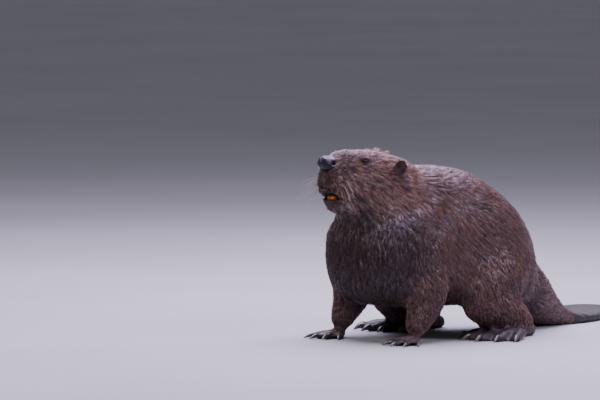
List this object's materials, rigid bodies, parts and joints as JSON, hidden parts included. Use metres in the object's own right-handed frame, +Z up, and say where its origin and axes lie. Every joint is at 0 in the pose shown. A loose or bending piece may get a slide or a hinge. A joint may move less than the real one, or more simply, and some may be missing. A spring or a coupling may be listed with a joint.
{
  "type": "beaver",
  "caption": "Still, life-size model of a Eurasian beaver crouched on its feet, head raised and turned a little to its right, flat scaly tail laid on the floor.",
  "frame": {"origin": "on the floor, below the middle of the animal's box", "axes": "+Z up, the animal faces -Y, its left side is +X"},
  "size_m": [0.3728, 0.8128, 0.3202],
  "materials": {
    "fur": "wet, matted brown fur, greyer and shiny where it is wettest",
    "wet_skin": "bare, moist, fine-grained black skin",
    "foot_skin": "dark, wrinkled skin with horny claws",
    "scaly_skin": "dark, satin skin of small flat scales",
    "enamel": "glossy orange enamel",
    "eye": "glossy, near-black"
  },
  "bodies": {
    "root": {"ear_left": "fur", "ear_right": "fur", "eye_left": "eye", "eye_right": "eye", "forefoot_left": "foot_skin", "forefoot_right": "foot_skin", "foreleg_left": "fur", "foreleg_right": "fur", "head": "fur", "hindfoot_left": "foot_skin", "hindfoot_right": "foot_skin", "hindleg_left": "fur", "hindleg_right": "fur", "incisors": "enamel", "lower_jaw": "fur", "neck": "fur", "nose": "wet_skin", "tail": "scaly_skin", "tail_root": "fur", "trunk": "fur"}
  },
  "joints": []
}
